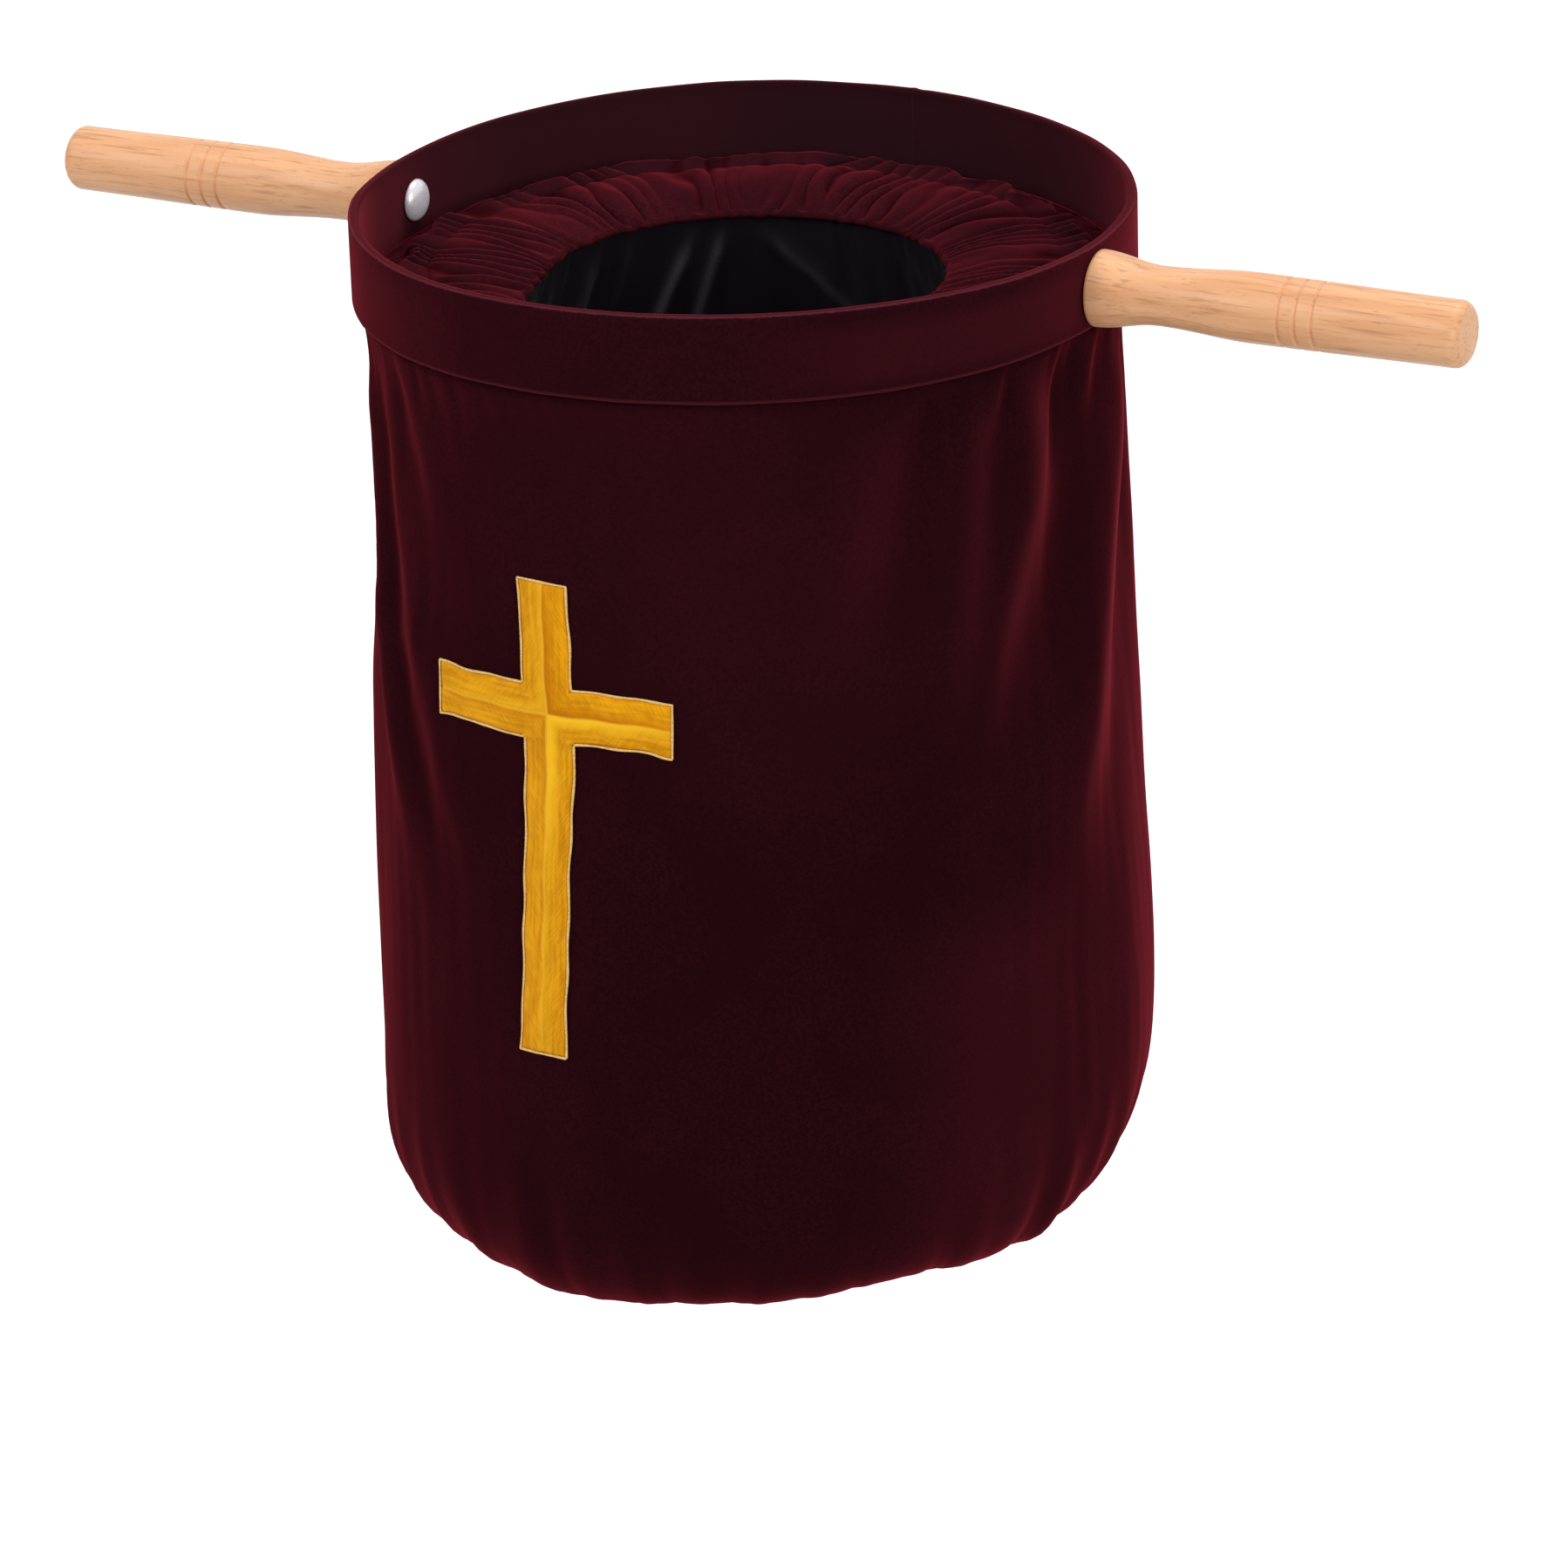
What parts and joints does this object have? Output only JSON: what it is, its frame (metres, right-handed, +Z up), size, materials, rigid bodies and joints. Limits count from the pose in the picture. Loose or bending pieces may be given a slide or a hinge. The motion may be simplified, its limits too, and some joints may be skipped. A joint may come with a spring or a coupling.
{
  "type": "offertory bag",
  "caption": "Hanging velvet collection bag with a velvet-covered hoop, gathered funnel mouth, satin pouch, gold cross and turned wooden side handles; the bag collapses flat under the hoop.",
  "frame": {"origin": "centre of the hoop, on the common axis of the two handles", "axes": "+X along the handles' axis towards the right handle, -Y the front with the cross, +Z up out of the hoop's mouth"},
  "size_m": [0.4806, 0.2462, 0.3245],
  "materials": {
    "band_steel": "bare strip",
    "hoop_velvet": "pile velvet",
    "bag_velvet": "pile velvet",
    "funnel_velvet": "pile velvet",
    "velvet_thread": "thread",
    "lining_satin": "satin weave",
    "cross_gold": "embroidered",
    "cross_thread": "thread",
    "handle_wood": "satin varnish",
    "bolt_steel": "plated",
    "insert_brass": "plain"
  },
  "bodies": {
    "rim": {"hoop_band": "band_steel", "hoop_cover": "hoop_velvet", "bag_wall": "bag_velvet", "funnel": "funnel_velvet", "funnel_topstitch": "velvet_thread", "lining_wall": "lining_satin", "cross_applique": "cross_gold", "cross_edge_stitch": "cross_thread", "carriage_bolt_left": "bolt_steel", "carriage_bolt_right": "bolt_steel"},
    "base": {"bag_base": "bag_velvet"},
    "pouch_bottom": {"lining_bottom": "lining_satin"},
    "left_grip": {"handle_left": "handle_wood", "threaded_insert_left": "insert_brass"},
    "right_grip": {"handle_right": "handle_wood", "threaded_insert_right": "insert_brass"}
  },
  "joints": [
    {"name": "bag_collapse", "type": "slide", "parent": "rim", "child": "base", "axis": [0, 0, 1], "range_m": [0, 0.268], "deforming": ["bag_wall", "cross_applique", "cross_edge_stitch"]},
    {"name": "pouch_rise", "type": "slide", "parent": "rim", "child": "pouch_bottom", "axis": [0, 0, 1], "range_m": [0, 0.295], "deforming": ["lining_wall"]},
    {"name": "left_handle_turn", "type": "hinge", "parent": "rim", "child": "left_grip", "pos_m": [-0.12, 0, 0], "axis": [1, 0, 0], "continuous": true},
    {"name": "right_handle_turn", "type": "hinge", "parent": "rim", "child": "right_grip", "pos_m": [0.12, 0, 0], "axis": [1, 0, 0], "continuous": true}
  ],
  "couplings": [
    {"joint": "pouch_rise", "follows": "bag_collapse", "ratio": 1.1007}
  ]
}
